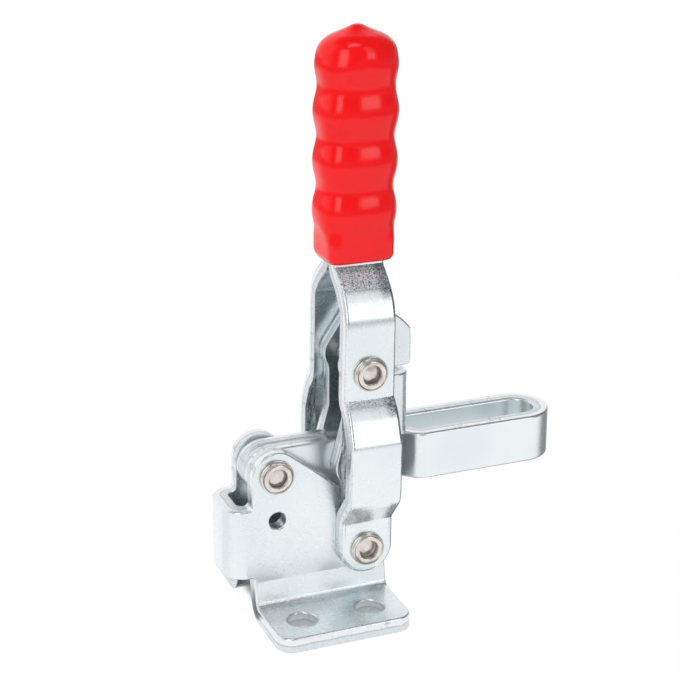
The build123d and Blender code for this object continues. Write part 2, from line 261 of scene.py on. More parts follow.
def vinylFinish(name):
    look = vinylLook
    f = Finish(name)
    cloud = f.noise(look["cloudSize"], 2.0)
    peel = f.noise(look["peelSize"], 2.0, 0.5)
    base = f.blendOf(cloud.step(0.35, 0.7), look["red"], look["deep"])
    base = f.blendOf(f.dots(*look["dustSpots"]) * 0.35, base, look["dust"])
    # painted shade: the rim's underside and the pocket are painted dark
    depth = f.attribute("depth")
    base = f.blendOf(depth, base, look["underShade"])
    rough = look["roughness"] + 0.06 * (peel - 0.5) + 0.05 * (cloud - 0.5) + 0.4 * depth
    return f.close({"Base Color": base, "Roughness": rough, "IOR": look["ior"],
                    "Normal": f.bump(peel + 0.5 * cloud, 0.10, look["reliefDepth"])})


zincBase = zincFinish("zincBase", 1.03, 1.0, metal=0.86)
zincBar = zincFinish("zincBar", 1.03, 1.2, rolled=0.04, innerShade=0.0)
zincLink = zincFinish("zincLink", 0.94, 0.9)
zincHandle = zincFinish("zincHandle", 1.02, 1.1, darkReflectionAmount=0.95)
rivetSteel = rivetFinish("rivetSteel")
redVinyl = vinylFinish("redVinyl")
print("finishes made")


# lines and folds
def unit(vectors):
    return vectors / np.linalg.norm(vectors, axis=1)[:, None]


def arcOf(x, y, r, start, end, step=5.0):
    # points on a circle from one angle to another, in degrees
    angle = np.radians(np.linspace(start, end, max(2, int(abs(end - start) / step) + 2)))
    return np.stack([x + r * np.cos(angle), y + r * np.sin(angle)], axis=1)


def rounded(points, radii, step=6.0):
    # an open line whose corners are replaced by arcs of the given radii
    points = np.array(points, float)
    out = [points[:1]]
    for before, corner, after, r in zip(points[:-2], points[1:-1], points[2:], radii):
        u, v = before - corner, after - corner
        u, v = u / np.linalg.norm(u), v / np.linalg.norm(v)
        half = math.acos(np.clip(u @ v, -1, 1)) / 2
        reach = r / math.tan(half)
        middle = corner + (u + v) / np.linalg.norm(u + v) * (r / math.sin(half))
        one, two = corner + u * reach - middle, corner + v * reach - middle
        span = math.pi - 2 * half
        share = np.linspace(0, 1, max(3, int(math.degrees(span) / step) + 2))[:, None]
        out.append(middle + (np.sin((1 - share) * span) * one + np.sin(share * span) * two) / math.sin(span))
    return np.concatenate(out + [points[-1:]])


def besides(points, distance):
    # the line moved to its left by a distance
    points = np.array(points, float)
    way = unit(np.diff(points, axis=0))
    left = np.stack([-way[:, 1], way[:, 0]], axis=1)
    first, second = np.concatenate([left[:1], left]), np.concatenate([left, left[-1:]])
    return points + distance * (first + second) / (1 + np.sum(first * second, axis=1))[:, None]


def smoothLine(knots, count):
    # Catmull-Rom curve through the knots, evenly spaced in its parameter
    knots = np.array(knots, float)
    ends = np.concatenate([2 * knots[:1] - knots[1:2], knots, 2 * knots[-1:] - knots[-2:-1]])
    t = np.linspace(0, len(knots) - 1 - 1e-9, count)
    i = t.astype(int)
    u = (t - i)[:, None]
    a, b, c, d = ends[i], ends[i + 1], ends[i + 2], ends[i + 3]
    squared, cubed = 2 * a - 5 * b + 4 * c - d, 3 * b - a - 3 * c + d
    return 0.5 * (2 * b + (c - a) * u + squared * u ** 2 + cubed * u ** 3)


class Fold:
    # the middle line of a folded sheet: straight runs and arcs, measured along its length
    samples = 12000

    def __init__(self, points, radii):
        points = np.array(points, float)
        way = np.diff(points, axis=0)
        length = np.linalg.norm(way, axis=1)
        heading = np.unwrap(np.arctan2(way[:, 1], way[:, 0]))
        turn = np.diff(heading)
        cut = np.abs(np.array(radii) * np.tan(turn / 2))
        arc = np.abs(np.array(radii) * turn)
        straight = length - np.append(cut, 0) - np.insert(cut, 0, 0)
        steps = np.stack([straight, np.append(arc, 0)], axis=1).ravel()[:-1]
        self.knots = np.insert(np.cumsum(steps), 0, 0)
        self.headings = np.repeat(heading, 2)
        self.length = self.knots[-1]
        self.fine = np.linspace(0, self.length, self.samples)
        angle = np.interp(self.fine, self.knots, self.headings)
        step = np.stack([np.cos(angle), np.sin(angle)], axis=1)
        run = (step[1:] + step[:-1]) / 2 * np.diff(self.fine)[:, None]
        self.line = points[0] + np.concatenate([np.zeros((1, 2)), np.cumsum(run, axis=0)])

    def at(self, s, side=0.0):
        # the point at length s, moved to the left of the line by side; both ends run on straight
        angle = np.interp(s, self.knots, self.headings)
        beyond = s - np.clip(s, 0, self.length)
        x = np.interp(s, self.fine, self.line[:, 0]) + beyond * np.cos(angle)
        y = np.interp(s, self.fine, self.line[:, 1]) + beyond * np.sin(angle)
        return x - side * np.sin(angle), y + side * np.cos(angle)

    def cuts(self, step=6.0):
        # lengths at which the mesh needs an edge, so that the arcs are round
        out = []
        turns = np.degrees(np.abs(np.diff(self.headings)))
        for low, high, turn in zip(self.knots[:-1], self.knots[1:], turns):
            if turn > 1e-4:
                out += list(np.linspace(low, high, int(turn / step) + 2))
        return np.array(out)


# folded sheets
sameSpot = 2e-3      # corners nearer than this are one, in millimetres
nudge = 1.3e-4       # keeps the cuts off the corners
probe = 1e-3         # how far the bend is sampled for normals


def outwards(loop):
    # at each corner of a loop, the way out of the sheet, long enough to keep both edges parallel
    way = unit(np.roll(loop, -1, axis=0) - loop)
    out = np.stack([way[:, 1], -way[:, 0]], axis=1)
    before = np.roll(out, 1, axis=0)
    return (before + out) / (1 + np.sum(before * out, axis=1))[:, None]


def wound(loop, sign):
    # the loop without double corners, anticlockwise for sign 1 and clockwise for -1
    after = np.roll(loop, -1, axis=0)
    area = np.sum(loop[:, 0] * after[:, 1] - loop[:, 1] * after[:, 0])
    loop = loop[np.linalg.norm(after - loop, axis=1) > sameSpot]
    return loop if area * sign > 0 else loop[::-1]


def crossed(loop, cuts, axis):
    # the loop with a corner added wherever it crosses a cut, and which cut each corner lies on
    after = np.roll(loop, -1, axis=0)
    where, points, onCut = [np.arange(len(loop), dtype=float)], [loop], [np.full(len(loop), -1)]
    for number, cut in enumerate(cuts):
        hits = np.nonzero((loop[:, axis] - cut) * (after[:, axis] - cut) < 0)[0]
        share = (cut - loop[hits, axis]) / (after[hits, axis] - loop[hits, axis])
        where.append(hits + share)
        points.append(loop[hits] + share[:, None] * (after[hits] - loop[hits]))
        onCut.append(np.full(len(hits), number))
    order = np.argsort(np.concatenate(where), kind="stable")
    return np.concatenate(points)[order], np.concatenate(onCut)[order]


def cutLoops(loops, cutsA, cutsB):
    # the loops crossed both ways, then the cut across a and the cut across b that each corner lies on
    first = [crossed(loop, cutsA, 0) for loop in loops]
    second = [crossed(loop, cutsB, 1) for loop, onA in first]
    marks = []
    for (_, onA), (points, onB) in zip(first, second):
        mark = np.full(len(points), -1)
        mark[onB < 0] = onA
        marks.append(mark)
    return [points for points, onB in second], np.concatenate(marks), np.concatenate([s[1] for s in second])


def ringsOf(loops):
    # the numbers of each loop's corners when the loops are joined
    starts = np.cumsum([0] + [len(loop) for loop in loops])
    return [np.arange(low, high) for low, high in zip(starts[:-1], starts[1:])]


def inside(points, loops):
    # even-odd test of points against all loops at once
    found = np.zeros(len(points), int)
    px, py = points[:, :1], points[:, 1:]
    for loop in loops:
        after = np.roll(loop, -1, axis=0)
        (x, y), (dx, dy) = loop.T, (after - loop).T
        spans = (y > py) != (after[:, 1] > py)
        found += np.sum(spans & (px < dx / np.where(dy == 0, 1e9, dy) * (py - y) + x), axis=1)
    return found % 2 == 1


def triangulated(name, loops, marks):
    # triangles of the sheet between its loops, with an edge along every cut
    flat = np.concatenate(loops)
    edges = [np.stack([ring, np.roll(ring, -1)], axis=1) for ring in ringsOf(loops)]
    for axis, mark in enumerate(marks):
        for number in range(mark.max() + 1):
            hits = np.nonzero(mark == number)[0]
            hits = hits[np.argsort(flat[hits, 1 - axis])]
            edges.append(hits[: len(hits) // 2 * 2].reshape(-1, 2))
    corners = [Vector(corner) for corner in flat.tolist()]
    made = delaunay_2d_cdt(corners, np.concatenate(edges).tolist(), [], 0, 1e-6, False)
    if len(made[0]) != len(flat):
        raise ValueError(name + ": the flat pattern crosses itself")
    tris = np.array([face for face in made[2] if len(face) == 3])
    return tris[inside(flat[tris].mean(axis=1), loops)]


def rimRows(thickness, rimTop, rimLow):
    # rows round the rim, a quarter round at each face, and last the lower face's edge: height above the
    # sheet's middle, reach past the upper face's edge, and the normal's parts along h and out of the sheet
    quarter = np.radians(np.linspace(0, 90, 5))
    c, s, half = np.cos(quarter), np.sin(quarter), thickness / 2
    height = np.concatenate([half - rimTop * (1 - c), rimLow * (1 - s) - half, [-half]])
    reach = np.concatenate([rimTop * s, rimTop - rimLow + rimLow * c, [0]])
    return height, reach, np.concatenate([c, -s, [-1]]), np.concatenate([s, c, [0]])


def addPiece(mesh, values, body, material, node, normals=None):
    # makes a finished mesh a visible piece, with its point values
    mesh.polygons.foreach_set("use_smooth", np.ones(len(mesh.polygons), bool))
    if normals is not None:
        mesh.normals_split_custom_set_from_vertices(normals.tolist())
    for key, value in values.items():
        mesh.attributes.new(key, "FLOAT", "POINT").data.foreach_set("value", value.astype(np.float32))
    mesh.materials.append(material)
    piece = bpy.data.objects.new(mesh.name, mesh)
    bpy.context.scene.collection.objects.link(piece)
    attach(piece, body)
    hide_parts(node)


def foldedSheet(name, outline, holes, cutsA, cutsB, bend, shape, body, material, node):
    # a flat pattern in lengths a and b along the sheet, carried round its folds by bend(a, b, h),
    # where h is the height above the middle of the sheet
    loops = [wound(outline, 1)] + [wound(hole, -1) for hole in holes]
    loops = [loop - outwards(loop) * shape["rimTop"] for loop in loops]
    loops, *marks = cutLoops(loops, np.asarray(cutsA) + nudge, np.asarray(cutsB) + nudge)
    tris = triangulated(name, loops, marks)
    flat, out = np.concatenate(loops), np.concatenate([outwards(loop) for loop in loops])
    height, reach, level, raw = rimRows(shape["sheet"], shape["rimTop"], shape["rimLow"])
    count, last = len(flat), len(height) - 1

    a, b = np.concatenate([flat + r * out for r in reach]).T
    h, level, raw = np.repeat(height, count), np.repeat(level, count), np.repeat(raw, count)
    stepA, stepB = probe * np.tile(unit(out), (last + 1, 1)).T
    place = bend(a, b, h)
    up = unit(bend(a, b, h + probe) - bend(a, b, h - probe))
    away = unit(bend(a + stepA, b + stepB, h) - place)
    normals = unit(up * level[:, None] + away * raw[:, None])

    faces = tris.tolist() + (tris[:, ::-1] + last * count).tolist()
    for ring in ringsOf(loops):
        after = np.roll(ring, -1)
        for low in range(0, last * count, count):
            high = low + count
            faces += np.stack([ring + low, ring + high, after + high, after + low], axis=1).tolist()
    mesh = bpy.data.meshes.new(name)
    mesh.from_pydata((place * mm).tolist(), [], faces)
    bm = bmesh.new()
    bm.from_mesh(mesh)
    if bm.calc_volume(signed=True) < 0:
        bmesh.ops.reverse_faces(bm, faces=bm.faces)
    bm.to_mesh(mesh)
    bm.free()
    # sheared goes from 0 on the faces to 1 on the rim, through from 0 at the upper face to 1 at the lower
    values = {"sheared": np.clip(raw * 1.6 - 0.5, 0, 1), "through": 0.5 - h / shape["sheet"]}
    addPiece(mesh, values, body, material, node, normals)


pivots = {
    "earX": -9.0, "earZ": 30.0,
    "lowX": 8.6, "lowZ": 13.15,
    "barX": 7.85, "barZ": 29.4,
    "throw": 36.7, "lean": math.radians(0.6),      # from the low rivet to the link rivet
    "holeR": 1.75,
}
topX = pivots["lowX"] + pivots["throw"] * math.sin(pivots["lean"])
topZ = pivots["lowZ"] + pivots["throw"] * math.cos(pivots["lean"])
gripRim = 70.45


def holeAt(a, b, r=pivots["holeR"]):
    return arcOf(a, b, r, 0, 352, 8)


# handle plates
handleShape = {
    "sheet": 3.1, "middle": 8.1,          # middle: from the clamp's middle to the plate's
    "footWidth": 10.8, "topWidth": 10.0, "length": 95.3, "runBelow": 12.0, "runAbove": 8.0,
    "tieR": 1.55, "tieIn": 9.5,
    # heights of the folds above the low rivet, and how far they stand out or in
    "foot": 6.3, "bulgeLow": 11.7, "bulgeHigh": 23.0, "shoulder": 28.4, "flatLow": 30.9,
    "flatHigh": 49.05, "brow": 53.05, "neck": 55.85,
    "bulge": 4.4, "step": 2.3, "browIn": 3.1, "seam": 0.05,
    "foldR": 3.05,
    # the outer skin is folded more softly
    "skinBrow": 51.9, "skinBrowIn": 2.25, "skinNeck": 55.6,
    "hipR": 8.0, "waistR": 1.8, "cheekR": 10.0, "browR": 4.0, "neckR": 1.75, "sharedCuts": 4,
    "rimTop": 0.72, "rimLow": 0.16,
}


def handlePlate(name, side, node):
    # the side outline is the hull of the round foot and the rounded top; folds run across it
    shape = handleShape
    mid, gripY, radius = shape["middle"], shape["seam"] + shape["sheet"] / 2, shape["foldR"]
    line = [(-mid, -shape["runBelow"]), (-mid, shape["foot"]), (-mid - shape["bulge"], shape["bulgeLow"]),
            (-mid - shape["bulge"], shape["bulgeHigh"]), (-mid - shape["step"], shape["shoulder"]),
            (-mid, shape["flatLow"]), (-mid, shape["flatHigh"]), (-mid + shape["browIn"], shape["brow"]),
            (-gripY, shape["neck"]), (-gripY, shape["length"] + shape["runAbove"])]
    soft = line[:7] + [(-mid + shape["skinBrowIn"], shape["skinBrow"]), (-gripY, shape["skinNeck"]), line[9]]
    softR = [shape[key] for key in ("hipR", "waistR", "cheekR", "browR", "neckR")]
    fold, skin = Fold(line, [radius] * 8), Fold(soft, [radius] * 3 + softR)

    def lengthAt(up):
        return np.interp(up, fold.line[:, 1], fold.fine)

    foot, top, high = shape["footWidth"] / 2, shape["topWidth"] / 2, shape["length"]
    r = shape["topWidth"] / 3
    slope = math.degrees(math.asin((foot - top) / (high - r)))
    outline = np.concatenate([arcOf(0, 0, foot, 180 - slope, 360 + slope),
                              arcOf(top - r, high - r, r, slope, 90),
                              arcOf(r - top, high - r, r, 90, 180 - slope)])
    pattern = np.stack([lengthAt(outline[:, 1]), outline[:, 0]], axis=1)
    rimUp = gripRim - pivots["lowZ"]
    holes = [holeAt(lengthAt(up), 0.0) for up in (0.0, pivots["throw"])]
    ties = (rimUp + shape["tieIn"], high - shape["tieIn"])
    holes += [holeAt(lengthAt(up), 0.0, shape["tieR"]) for up in ties]
    c, s = math.cos(pivots["lean"]), math.sin(pivots["lean"])

    def bend(a, b, h):
        share = np.clip(h / shape["sheet"] + 0.5, 0, 1)
        outA = np.interp(np.interp(a, fold.fine, fold.line[:, 1]), skin.line[:, 1], skin.fine)
        (y, up), (skinY, skinUp) = fold.at(a, h), skin.at(outA, h)
        y, up = y + share * (skinY - y), up + share * (skinUp - up)
        return np.stack([pivots["lowX"] + b * c + up * s, side * y, pivots["lowZ"] - b * s + up * c], axis=-1)

    # the skin's first few cuts lie on a bend that the fold's own cuts already make round
    skinCuts = skin.cuts(5.0)[shape["sharedCuts"]:]
    skinCuts = lengthAt(np.interp(skinCuts, skin.fine, skin.line[:, 1]))
    cuts = np.sort(np.append(fold.cuts(), skinCuts))
    cuts = cuts[np.append(True, np.diff(cuts) > 0.02)]
    foldedSheet(name, pattern, holes, cuts, [], bend, shape, "handle", zincHandle, node)


handlePlate("handlePlateNear", 1, "handle_plate_near")
handlePlate("handlePlateFar", -1, "handle_plate_far")
print("handle plates made")

# clamping bar
barShape = {
    "sheet": 3.1, "depth": 9.8, "legOut": 3.25, "slotOut": 6.75,
    "tail": -13.9, "jogStart": 17.2, "jogEnd": 21.1, "jogR": 3.7, "tip": 52.09,
    "rimTop": 0.55, "rimLow": 0.55,
}


def clampingStrip():
    # one strip: near leg, jog, round nose and back, with round tails about the ear pivot
    shape = barShape
    half = shape["sheet"] / 2
    outer = [(shape["tail"], -shape["legOut"]), (shape["jogStart"], -shape["legOut"]),
             (shape["jogEnd"], -shape["slotOut"]), (shape["tip"] - shape["slotOut"], -shape["slotOut"])]
    near = besides(outer, half)
    noseX, noseR = shape["tip"] - half, shape["slotOut"] - half
    points = np.concatenate([near[:-1], [(noseX, -noseR), (noseX, noseR)], near[-2::-1] * (1, -1)])
    # the nose is two quarter rounds that all but touch
    inJog, outJog, nose = shape["jogR"] + half, shape["jogR"] - half, noseR * 0.99999
    fold = Fold(points, [inJog, outJog, nose, nose, outJog, inJog])
    r, low = shape["depth"] / 2, pivots["barZ"]
    outline = np.concatenate([arcOf(r, low, r, 90, 270), arcOf(fold.length - r, low, r, -90, 90)])
    spots = [(pivots["earX"] - shape["tail"], pivots["earZ"]), (pivots["barX"] - shape["tail"], low)]
    holes = [holeAt(a, b) for a, b in spots] + [holeAt(fold.length - a, b) for a, b in spots]

    def bend(a, b, h):
        x, y = fold.at(a, -h)
        return np.stack([x, y, b], axis=-1)

    foldedSheet("clampingBar", outline, holes, fold.cuts(4.0), [], bend, shape,
                "bar", zincBar, "u_bar")


clampingStrip()
print("clamping bar made")

# toggle link
linkShape = {
    "sheet": 3.0, "outer": 6.35, "rear": -2.0,
    "front": 19.15, "tabFront": 18.834, "bendR": 3.15,      # bendR: outside radius of the web's bends
    "footR": 4.5, "topR": 4.2, "waistX": 5.634, "waistZ": 39.0, "waistR": 3.0,
    "webLow": 34.35, "webR": 1.2, "notchLow": 47.398, "notchHigh": 49.198, "notchIn": 14.334, "notchR": 0.4,
    "tabX": 13.984, "tabZ": 56.298, "tabR": 4.75, "tabLowR": 0.8,
    "tabEdge": (0.02, 1.5),                                 # its start: behind the front, below the round
    "sweepR": 11.9,                                         # the tab clears the handle plates inside this
    "rimTop": 0.38, "rimLow": 0.15,
}


def tangentAngle(x, z, r, point, sign):
    # angle on a circle where the line to a point touches it
    dx, dz = point[0] - x, point[1] - z
    return math.degrees(math.atan2(dz, dx) + sign * math.acos(r / math.hypot(dx, dz)))


def linkChannel():
    # the near side's outline runs from the web's lower edge round the foot, waist and tab to the notch;
    # the far side is its mirror image in the flat pattern
    shape = linkShape
    half = shape["sheet"] / 2
    midY, midX, rear = shape["outer"] - half, shape["front"] - half, shape["rear"]
    r = shape["bendR"] - half
    fold = Fold([(rear, -midY), (midX, -midY), (midX, midY), (rear, midY)], [r, r])
    middle, webEnd = fold.length / 2, shape["front"] - shape["bendR"]

    # foot and waist
    footX, footZ, footR, waistR = pivots["barX"], pivots["barZ"], shape["footR"], shape["waistR"]
    right = tangentAngle(footX, footZ, footR, (webEnd, shape["webLow"]), -1)
    left = tangentAngle(footX, footZ, footR, (shape["waistX"], shape["waistZ"]), 1) % 360
    foot = arcOf(footX - rear, footZ, footR, right, left - 360)
    web = rounded([(middle, shape["webLow"]), (webEnd - rear, shape["webLow"]), foot[0]], [shape["webR"]])
    waistIn = shape["waistX"] - waistR
    rise = math.sqrt((shape["topR"] + waistR) ** 2 - (topX - waistIn) ** 2)
    touch = math.degrees(math.atan2(rise, topX - waistIn))
    waistLow = rounded([foot[-1], (shape["waistX"] - rear, shape["waistZ"]),
                        (shape["waistX"] - rear, topZ - rise)], [waistR])
    waist = arcOf(waistIn - rear, topZ - rise, waistR, 0, touch)

    # tab: a round about its own centre, cut back by the sweep about the link rivet
    alongX, alongZ, tabR, sweepR = shape["tabX"] - topX, shape["tabZ"] - topZ, shape["tabR"], shape["sweepR"]
    apart, aim = math.hypot(alongX, alongZ), math.degrees(math.atan2(alongZ, alongX))
    side = aim + math.degrees(math.acos((shape["topR"] - tabR) / apart))
    onTab = math.degrees(math.acos((sweepR ** 2 - apart ** 2 - tabR ** 2) / (2 * apart * tabR)))
    onSweep = math.degrees(math.asin(tabR * math.sin(math.radians(onTab)) / sweepR))
    head = arcOf(topX - rear, topZ, shape["topR"], 180 + touch, side)
    tab = np.concatenate([arcOf(shape["tabX"] - rear, shape["tabZ"], tabR, side, aim + onTab),
                          arcOf(topX - rear, topZ, sweepR, aim + onSweep, aim - onSweep, 3),
                          arcOf(shape["tabX"] - rear, shape["tabZ"], tabR, aim - onTab, 0)])
    tabEnd, notchEnd = shape["tabFront"] - rear, shape["notchIn"] - rear
    behind, below = shape["tabEdge"]
    edge = rounded([(tabEnd - behind, tab[-1, 1] - below), (tabEnd, shape["notchHigh"]),
                    (notchEnd, shape["notchHigh"]), (notchEnd, shape["notchLow"]),
                    (middle, shape["notchLow"])], [shape["tabLowR"], shape["notchR"], shape["notchR"]])
    near = np.concatenate([web, foot[1:], waistLow[1:], waist[1:], head[1:], tab, edge])
    outline = np.concatenate([near, near[::-1][1:-1] * (-1, 1) + (fold.length, 0)])
    notch = (shape["notchLow"] + shape["notchHigh"]) / 2
    spots = [(footX - rear, footZ), (topX - rear, topZ)]
    holes = [holeAt(a, b) for a, b in spots] + [holeAt(fold.length - a, b) for a, b in spots]

    def bend(a, b, h):
        # the tabs above the notch stay flat
        x, y = fold.at(a, -h)
        flatX = np.minimum(a, fold.length - a) + rear
        flatY = np.where(a < middle, -midY - h, midY + h)
        return np.stack([np.where(b > notch, flatX, x), np.where(b > notch, flatY, y), b], axis=-1)

    foldedSheet("toggleLink", outline, holes, fold.cuts(), [], bend, shape,
                "link", zincLink, "toggle_link")


linkChannel()
print("toggle link made")

# base plate
baseShape = {
    "sheet": 3.1, "outer": 6.45, "frontX": 13.8, "rearX": -19.0, "wallR": 4.3,   # wallR: outside radius
    "footZ": 9.0, "wallTop": 23.6, "earR": 4.9, "cornerZ": 15.5, "cornerR": 5.2, "nookR": 0.9,
    "flareTop": 10.0, "flareZ": 8.0, "flareRun": 1.0, "flangeR": 1.4, "flangeEnd": 21.4,
    "flangeLong": 27.5, "flangeCorner": 3.2, "heelR": 0.5,
    "boltX": 7.0, "boltY": 14.8, "boltR": 2.9, "sideX": -8.8, "sideZ": 20.6, "sideR": 1.7,
    "edgeRun": 2.0,                       # straight edge drawn next to a corner
    "rimTop": 0.40, "rimLow": 0.18,
}


def basePan():
    # above the foot the sheet goes round the rear wall; below it, each side runs out into its flange
    shape = baseShape
    half, outer, front = shape["sheet"] / 2, shape["outer"], shape["frontX"]
    midY, wallX, r = outer - half, shape["rearX"] + half, shape["wallR"] - half
    wall = Fold([(front, -midY), (wallX, -midY), (wallX, midY), (front, midY)], [r, r])
    flare = [(-outer, shape["flareTop"]), (-outer, shape["flareZ"]),
             (-outer - shape["flareRun"], shape["sheet"]), (-shape["flangeEnd"], shape["sheet"])]
    flare = besides(flare, half)
    flange = Fold(flare, [shape["flangeR"] + half] * 2)
    # b counts down the flange from the foot; bLow is the b at which the flange's length is zero
    footZ = shape["footZ"]
    bLow = footZ + np.interp(-footZ, -flange.line[:, 1], flange.fine)
    boltB = bLow - np.interp(shape["boltY"], -flange.line[:, 0], flange.fine)
    endB, middle = bLow - flange.length, wall.length / 2

    ear, corner = (pivots["earX"], pivots["earZ"]), (pivots["lowX"], shape["cornerZ"])
    dx, dz = corner[0] - ear[0], corner[1] - ear[1]
    lift = math.acos((shape["earR"] - shape["cornerR"]) / math.hypot(dx, dz))
    slope = math.degrees(math.atan2(dz, dx) + lift)
    earRear, wallTop, run = ear[0] - shape["earR"], shape["wallTop"], shape["edgeRun"]
    nook = [(earRear - run, wallTop), (earRear, wallTop), (earRear, ear[1] - run)]
    nook = rounded(nook, [shape["nookR"]])[1:-1]
    top = np.concatenate([nook, arcOf(*ear, shape["earR"], 180, slope),
                          arcOf(*corner, shape["cornerR"], slope, 0)])
    top = top * (-1, 1) + (front, 0)      # from x along the side to length along the sheet
    long, cornerR = shape["flangeLong"], shape["flangeCorner"]
    foot = rounded([(0, corner[1] - run), (0, endB), (long, endB), (long, footZ), (middle, footZ)],
                   [cornerR, cornerR, shape["heelR"]])
    near = np.concatenate([[(middle, wallTop)], top, foot])
    outline = np.concatenate([near, near[::-1][1:-1] * (-1, 1) + (wall.length, 0)])
    spots = [(front - ear[0], ear[1], pivots["holeR"]),
             (front - pivots["lowX"], pivots["lowZ"], pivots["holeR"]),
             (front - shape["sideX"], shape["sideZ"], shape["sideR"]),
             (front - shape["boltX"], boltB, shape["boltR"]), (front + shape["boltX"], boltB, shape["boltR"])]
    holes = [holeAt(*spot) for spot in spots] + [holeAt(wall.length - a, b, size) for a, b, size in spots]

    def bend(a, b, h):
        x, y = wall.at(a, h)
        near, below = a < middle, b < footZ
        sideY, z = flange.at(bLow - b, -h)
        flatX = front - np.where(near, a, wall.length - a)
        return np.stack([np.where(below, flatX, x), np.where(below, np.where(near, sideY, -sideY), y),
                         np.where(below, z, b)], axis=-1)

    foldedSheet("basePlate", outline, holes, wall.cuts(), bLow - flange.cuts(), bend, shape,
                "base", zincBase, "base_plate")


basePan()
print("base plate made")


# surfaces on a grid
def gridPiece(name, points, depth, body, material, slotName, node):
    # points has shape rows x columns x 3; columns close into a ring, the first and last rows are poles
    rows, cols = points.shape[:2]
    verts = np.concatenate([points[:1, 0], points[1:-1].reshape(-1, 3), points[-1:, 0]])
    ring = 1 + np.arange((rows - 2) * cols).reshape(rows - 2, cols)
    after = np.roll(ring, -1, axis=1)
    quads = np.stack([ring[:-1], after[:-1], after[1:], ring[1:]], axis=-1).reshape(-1, 4)
    capLow = np.stack([np.zeros(cols, int), after[0], ring[0]], axis=-1)
    capHigh = np.stack([np.full(cols, len(verts) - 1), ring[-1], after[-1]], axis=-1)
    mesh = bpy.data.meshes.new(name)
    mesh.from_pydata(verts.tolist(), [], capLow.tolist() + quads.tolist() + capHigh.tolist())
    bm = bmesh.new()
    bm.from_mesh(mesh)
    bmesh.ops.recalc_face_normals(bm, faces=bm.faces)
    bm.to_mesh(mesh)
    bm.free()
    # depth is each row's share of painted shade
    values = {"depth": np.concatenate([depth[:1], np.repeat(depth[1:-1], cols), depth[-1:]])}
    addPiece(mesh, values, body, material, node)


def around(count):
    return np.linspace(0, 2 * np.pi, count, endpoint=False)[None, :]


# rivets
rivetShape = {
    "around": 96,
    "shankR": 1.68, "seatR": 3.3, "widest": 3.4, "highest": 1.3, "ease": 0.1, "shade": 0.5,
    # rolled end, from the middle of the recess to the plate: radius, height above the plate, painted shade
    "bottom": [(0.0, 0.60, 0.0), (0.55, 0.58, 0.0), (1.10, 0.50, 0.0), (1.52, 0.42, 0.05), (1.72, 0.37, 0.6)],
    "wall": [(1.81, 0.48, 1.0), (1.87, 0.76, 0.8), (1.91, 0.98, 0.35)],
    "lip": [(1.96, 1.12, 0.05), (2.12, 1.20, 0.0), (2.45, 1.20, 0.0), (2.74, 1.14, 0.0)],
    "groove": [(2.88, 1.03, 0.35), (2.96, 1.00, 0.6), (3.03, 1.03, 0.2)],
    "roll": [(3.12, 1.05, 0.0), (3.26, 0.93, 0.0), (3.37, 0.66, 0.0), (3.39, 0.34, 0.1), (3.36, 0.06, 0.6)],
    "wallSink": (0.85, 0.5, 0.15),        # how much of the recess's sink each point of its wall takes
    # low head on the far side: radius, height, painted shade
    "head": [(3.37, 0.06, 0.4), (3.38, 0.25, 0.1), (3.24, 0.46, 0.0), (2.7, 0.72, 0.0), (1.8, 0.86, 0.0),
             (0.9, 0.895, 0.0), (0.0, 0.9, 0.0)],
    # slow changes with the angle: radius, width and height
    "grooveWave": (2.96, 0.08, 0.18), "lipWave": (2.2, 0.35, 0.04),
    "outOfRound": 0.006, "roundIn": 1.75,
}


def rivet(name, body, node, x, z, face, sink, turn, stub=None):
    # plates' faces lie at +-face from the middle; with a stub, the rivet is two ends that stop at +-stub;
    # sink deepens the rolled end's recess and turn sets where its rim is uneven
    shape = rivetShape
    seat, shank, ease = shape["seatR"], shape["shankR"], shape["ease"]
    wall = [(r, h - sink * share, g) for (r, h, g), share in zip(shape["wall"], shape["wallSink"])]
    rolled = [(r, h - sink, g) for r, h, g in shape["bottom"]] + wall
    rolled += shape["lip"] + shape["groove"] + shape["roll"]
    nearEnd = smoothLine(rolled, 4 * len(rolled)) * (1, -1, 1) - (0, face, 0)
    farEnd = smoothLine(shape["head"], 3 * len(shape["head"])) + (0, face, 0)

    def shaded(*corners):
        return np.array([(r, y, shape["shade"]) for r, y in corners])

    if stub is None:
        shaft = shaded((seat, -face), (shank + ease, -face), (shank, ease - face),
                       (shank, face - ease), (shank + ease, face), (seat, face))
        parts = {name: (nearEnd, shaft, farEnd)}
    else:
        parts = {name: (nearEnd, shaded((seat, -face), (shank, -face), (shank, -stub), (0.0, -stub))),
                 name + "Head": (shaded((0.0, stub), (shank, stub), (shank, face), (seat, face)), farEnd)}
    angle = around(shape["around"])
    (grooveR, grooveWide, grooveHigh), (lipR, lipWide, lipHigh) = shape["grooveWave"], shape["lipWave"]
    for label, lines in parts.items():
        r, y, recessShade = np.concatenate(lines).T
        r, y = np.clip(r, 0, shape["widest"])[:, None], y[:, None]
        onGroove = np.exp(-((r - grooveR) / grooveWide) ** 2) * (y < 0)
        onLip = np.exp(-((r - lipR) / lipWide) ** 2) * (y < 0)
        y = y + onGroove * grooveHigh * (0.45 + 0.55 * np.cos(2 * angle + turn))
        y = np.maximum(y + onLip * lipHigh * np.cos(3 * angle + 2 * turn), -face - shape["highest"])
        oval = (r > shape["roundIn"]) * (r < seat) * shape["outOfRound"]
        r = r * (1 + oval * np.sin(2 * angle + turn))
        points = np.stack([x + r * np.cos(angle), y, z + r * np.sin(angle)], axis=-1) * mm
        gridPiece(label, points, recessShade, body, rivetSteel, "rivet_steel", node)


